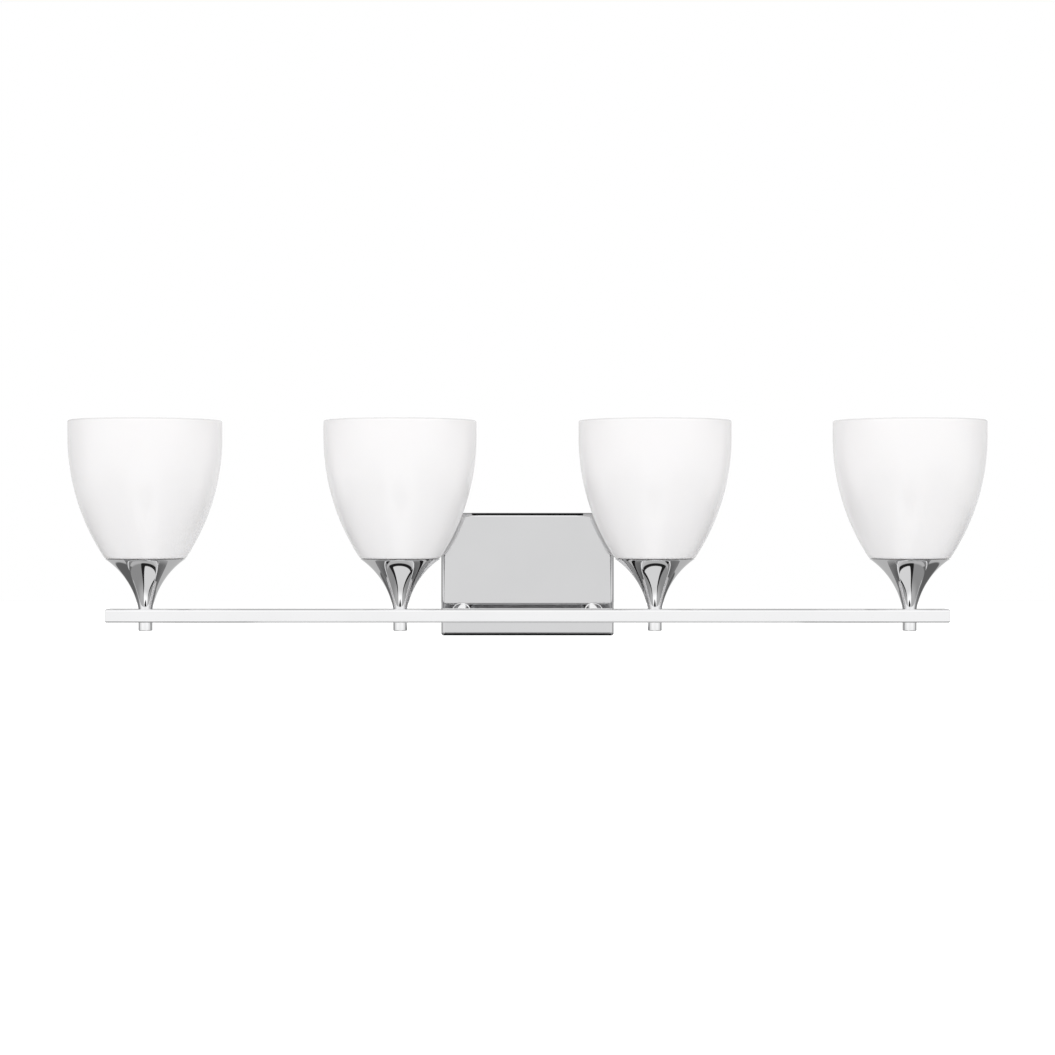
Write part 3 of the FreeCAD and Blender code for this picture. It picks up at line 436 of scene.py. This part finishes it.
class Graph:
    """Shorthand for node sums: numbers and sockets go in, a socket comes out."""

    def __init__(self, tree):
        self.nodes = tree.nodes
        self.links = tree.links

    def math(self, kind, *values):
        node = self.nodes.new("ShaderNodeMath")
        node.operation = kind
        for socket, value in zip(node.inputs, values):
            if isinstance(value, (int, float)):
                socket.default_value = value
            else:
                self.links.new(value, socket)
        return node.outputs[0]

    def ramp(self, source, stops, smooth="LINEAR"):
        """Grey by position, from (position, brightness) stops."""
        node = self.nodes.new("ShaderNodeValToRGB")
        node.color_ramp.interpolation = smooth
        elements = node.color_ramp.elements
        elements[1].position = stops[-1][0]
        for position, value in stops[1:-1]:
            elements.new(position)
        for element, (position, value) in zip(elements, stops):
            element.color = (value, value, value, 1)
        self.links.new(source, node.inputs[0])
        return node.outputs[0]

    def step(self, source, low, high):
        """0 below low, 1 above high, smooth between."""
        node = self.nodes.new("ShaderNodeMapRange")
        node.interpolation_type = "SMOOTHSTEP"
        node.inputs["From Min"].default_value = low
        node.inputs["From Max"].default_value = high
        self.links.new(source, node.inputs["Value"])
        return node.outputs["Result"]

    def mix(self, share, first, second):
        """first where share is 0, second where it is 1; numbers or sockets."""
        kept = self.math("MULTIPLY", first, self.math("SUBTRACT", 1, share))
        return self.math("ADD", kept, self.math("MULTIPLY", second, share))


def plane(name, size, height):
    bpy.ops.mesh.primitive_plane_add(size=size, location=(0, 0, height))
    made = bpy.context.object
    made.name = name
    return made


def make_floor():
    """Plain pale floor: the eye sees it white, the glass takes a softer light from it."""
    floor = plane("studio_floor", 60, cad_box[0].z - FLOOR_DROP)
    r = Recipe("studio_floor")
    r.set(Roughness=0.9, Emission_Color=(1, 1, 1, 1))
    r.drive("Base Color", r.blend(r.spread(r.noise(3), 0, 1), (0.95, 0.95, 0.95), (0.93, 0.93, 0.93)))
    eye = r.add("ShaderNodeLightPath").outputs["Is Camera Ray"]
    r.drive("Emission Strength", Graph(r.material.node_tree).math("MULTIPLY", eye, FLOOR_GLOW))
    floor.data.materials.append(r.material)
    floor.visible_glossy = False


# the floor as the chrome sees it, in metres: a white table top with a dark edge, grey and dark beyond
CARD_SIZE = 9.0
TABLE_HALF = 0.4
TABLE_BACK = 0.04
TABLE_WIDENS = -0.8     # in front of this the white grows wider
TABLE_SPREAD = 0.35     # by this much for each metre towards the camera
TABLE_ROUND = 0.08      # softness of the table's corners
TABLE_BORDER = 0.12
NEAR_RANGE = (-1.5, -0.9)       # the table changes from its far to its near brightness
SURROUND_RANGE = (-1.2, -0.4)   # so does the floor round it
WALL_RANGE = (0.1, 0.2)         # and here the floor by the wall begins
DARK_SIDE = 0.84        # the unlit floor to the sides starts here
DARK_SLANT = 0.42       # and this much further out for each metre towards the wall
DARK_SOFT = 0.04
TRIPOD_FROM = -3.2      # a dark shape under the camera, from here
TRIPOD_TO = -1.55       # to a point here
TRIPOD_SPREAD = 1.1     # its half width grows by this for each metre
TRIPOD_HALF = 0.65      # up to this
# brightness, far and near
TABLE_LIGHT = (1.32, 0.84)
SURROUND_LIGHT = (0.53, 0.33)
BORDER_LIGHT = (0.53, 0.018)
WALL_LIGHT = 0.565
UNLIT = 0.14
TRIPOD_LIGHT = 0.03


def glossy_only(thing):
    """Seen in reflections and nowhere else."""
    for kind in ("camera", "diffuse", "transmission", "volume_scatter", "shadow"):
        setattr(thing, f"visible_{kind}", False)


def glow(name):
    """A material that only glows; its tree and the socket for its brightness."""
    material = bpy.data.materials.new(name)
    material.use_nodes = True
    tree = material.node_tree
    tree.nodes.clear()
    light = tree.nodes.new("ShaderNodeEmission")
    output = tree.nodes.new("ShaderNodeOutputMaterial")
    tree.links.new(light.outputs[0], output.inputs["Surface"])
    return material, tree, light.inputs["Strength"]


def make_reflected_floor():
    """What polished pieces see below them."""
    card = plane("reflected_floor", CARD_SIZE, cad_box[0].z - FLOOR_DROP + 0.001)
    material, tree, strength = glow("reflected_floor")
    g = Graph(tree)
    split = tree.nodes.new("ShaderNodeSeparateXYZ")
    tree.links.new(tree.nodes.new("ShaderNodeTexCoord").outputs["Object"], split.inputs[0])
    x, y = split.outputs[:2]
    side = g.math("ABSOLUTE", x)
    ahead = g.math("MAXIMUM", g.math("SUBTRACT", TABLE_WIDENS, y), 0)
    beside = g.math("SUBTRACT", g.math("SUBTRACT", side, TABLE_HALF), g.math("MULTIPLY", ahead, TABLE_SPREAD))
    behind = g.math("SUBTRACT", y, TABLE_BACK)
    outside = g.math("SMOOTH_MAX", beside, behind, TABLE_ROUND)
    near = g.step(y, *NEAR_RANGE)
    table = g.mix(near, *TABLE_LIGHT)
    surround = g.mix(g.step(y, *SURROUND_RANGE), *SURROUND_LIGHT)
    unlit = g.math("SUBTRACT", g.math("SUBTRACT", side, DARK_SIDE), g.math("MULTIPLY", y, DARK_SLANT))
    wall = g.mix(g.step(unlit, -DARK_SOFT, DARK_SOFT), WALL_LIGHT, UNLIT)
    beyond = g.mix(g.step(y, *WALL_RANGE), surround, wall)
    border = g.mix(near, *BORDER_LIGHT)
    framed = g.mix(g.step(outside, TABLE_BORDER, TABLE_BORDER + 0.03), border, beyond)
    pattern = g.mix(g.step(outside, -0.01, 0.01), table, framed)
    grown = g.math("MULTIPLY", g.math("SUBTRACT", TRIPOD_TO, y), TRIPOD_SPREAD)
    reach = g.math("MINIMUM", grown, TRIPOD_HALF)
    across = g.step(g.math("SUBTRACT", reach, side), 0, 0.03)
    tripod = g.math("MULTIPLY", across, g.step(y, TRIPOD_FROM, TRIPOD_FROM + 0.3))
    tree.links.new(g.mix(tripod, pattern, TRIPOD_LIGHT), strength)
    card.data.materials.append(material)
    glossy_only(card)


FLAG_GAP = 0.009        # from the backplate's edge to the black card above or below it
FLAG_FRONT = 0.035      # the cards' reach from the wall
FLAG_BACK = 0.012
FLAG_LIGHT = 0.01
TOP_FLAG_HALF = 0.055   # the upper one fits between the shades


def make_flag(name, half, height):
    """A black card near an edge of the backplate draws the dark line along it."""
    front = [(-half, -FLAG_FRONT, height), (half, -FLAG_FRONT, height)]
    corners = front + [(half, -FLAG_BACK, height), (-half, -FLAG_BACK, height)]
    mesh = bpy.data.meshes.new(name)
    mesh.from_pydata(corners, [], [(0, 1, 2, 3)])
    flag = bpy.data.objects.new(name, mesh)
    bpy.context.scene.collection.objects.link(flag)
    material, _, strength = glow(name)
    strength.default_value = FLAG_LIGHT
    mesh.materials.append(material)
    glossy_only(flag)


def make_flags():
    """The cards at the backplate's lower and upper edges."""
    low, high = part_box("backplate")
    make_flag("flag_below", high.x, low.z - FLAG_GAP)
    make_flag("flag_above", TOP_FLAG_HALF, high.z + FLAG_GAP)


# brightness round the horizon: 0 towards the camera's side, 1 towards the wall
AZIMUTH_BANDS = [(0.0, 1.17), (0.07, 1.17), (0.12, 1.22), (0.24, 1.25), (0.32, 1.1), (0.46, 0.95),
                 (0.55, 0.45), (0.74, 0.45), (0.84, 0.72), (1.0, 0.8)]
# brightness by height: 0 straight down, 0.5 level, 1 straight up
LEVEL_BANDS = [(0.0, 0.6), (0.4, 0.95), (0.47, 1.0), (0.51, 1.0), (0.55, 1.24), (0.8, 1.15), (0.9, 0.8),
               (1.0, 0.55)]
WALL_HAZE = 0.66        # the wall's side, just above the horizon
HAZE_RISE = (0.0, 0.03)
HAZE_ROUND = (0.6, 0.8)
SIDE_SKY = 0.5          # how bright the sky is to the sides, against the sky in front
SIDE_RISE = (0.06, 0.14)
SIDE_FROM = (0.35, 0.5)
SIDE_TO = (0.8, 0.9)


def make_world():
    """White to the eye; in reflections, a studio of soft bright and darker bands."""
    world = bpy.data.worlds.new("studio")
    bpy.context.scene.world = world
    world.use_nodes = True
    tree = world.node_tree
    tree.nodes.clear()
    g = Graph(tree)
    split = tree.nodes.new("ShaderNodeSeparateXYZ")
    tree.links.new(tree.nodes.new("ShaderNodeTexCoord").outputs["Generated"], split.inputs[0])
    x, y, z = split.outputs
    angle = g.math("ARCTAN2", g.math("ABSOLUTE", x), g.math("MULTIPLY", y, -1))
    azimuth = g.math("DIVIDE", angle, math.pi)
    level = g.math("ADD", g.math("MULTIPLY", z, 0.5), 0.5)
    around = g.ramp(azimuth, AZIMUTH_BANDS)
    haze = g.math("MULTIPLY", g.step(z, *HAZE_RISE), g.step(azimuth, *HAZE_ROUND))
    beside = g.math("MULTIPLY", g.step(azimuth, *SIDE_FROM), g.math("SUBTRACT", 1, g.step(azimuth, *SIDE_TO)))
    dimmed = g.mix(g.math("MULTIPLY", beside, g.step(z, *SIDE_RISE)), 1, SIDE_SKY)
    undimmed = g.math("MULTIPLY", g.mix(haze, around, WALL_HAZE), g.ramp(level, LEVEL_BANDS))
    bands = g.math("MULTIPLY", undimmed, dimmed)
    seen = tree.nodes.new("ShaderNodeBackground")
    seen.inputs["Color"].default_value = (1, 1, 1, 1)
    reflected = tree.nodes.new("ShaderNodeBackground")
    reflected.inputs["Color"].default_value = (1, 1, 1, 1)
    tree.links.new(bands, reflected.inputs["Strength"])
    choice = tree.nodes.new("ShaderNodeMixShader")
    tree.links.new(tree.nodes.new("ShaderNodeLightPath").outputs["Is Glossy Ray"], choice.inputs[0])
    tree.links.new(seen.outputs[0], choice.inputs[1])
    tree.links.new(reflected.outputs[0], choice.inputs[2])
    output = tree.nodes.new("ShaderNodeOutputWorld")
    tree.links.new(choice.outputs[0], output.inputs["Surface"])


# name, place, size and power in watts
SOFT_BOXES = [("key", (-0.15, -2.4, 1.0), 1.6, 2.1), ("fill", (0.15, -2.4, 0.6), 1.6, 2.0),
              ("top", (0, -0.3, 2.0), 1.8, 1)]
LIGHT_AIM = (0, LAMP_Y, 0.05)


def make_lights():
    """Soft boxes that light the glass and stay out of the reflections."""
    for name, place, size, power in SOFT_BOXES:
        light = bpy.data.lights.new(name, "AREA")
        light.size = size
        light.energy = power
        lamp = bpy.data.objects.new(name, light)
        lamp.location = place
        lamp.rotation_euler = (Vector(LIGHT_AIM) - Vector(place)).to_track_quat("-Z", "Y").to_euler()
        lamp.visible_glossy = False
        lamp.visible_camera = False
        bpy.context.scene.collection.objects.link(lamp)


def make_camera():
    """Level with the lower part of the glass, straight in front."""
    data = bpy.data.cameras.new("camera")
    data.sensor_width = 36
    data.lens = data.sensor_width * CAMERA_REACH / VIEW_WIDTH
    camera = bpy.data.objects.new("camera", data)
    camera.location = (0, LAMP_Y - CAMERA_REACH, EYE_HEIGHT)
    look = Vector((0, LAMP_Y, AIM_HEIGHT)) - camera.location
    camera.rotation_euler = look.to_track_quat("-Z", "Y").to_euler()
    bpy.context.scene.collection.objects.link(camera)
    bpy.context.scene.camera = camera


make_camera()
dress_cad()
make_holders_and_shades()
make_floor()
make_reflected_floor()
make_flags()
make_world()
make_lights()
bpy.context.scene.view_settings.view_transform = "Standard"
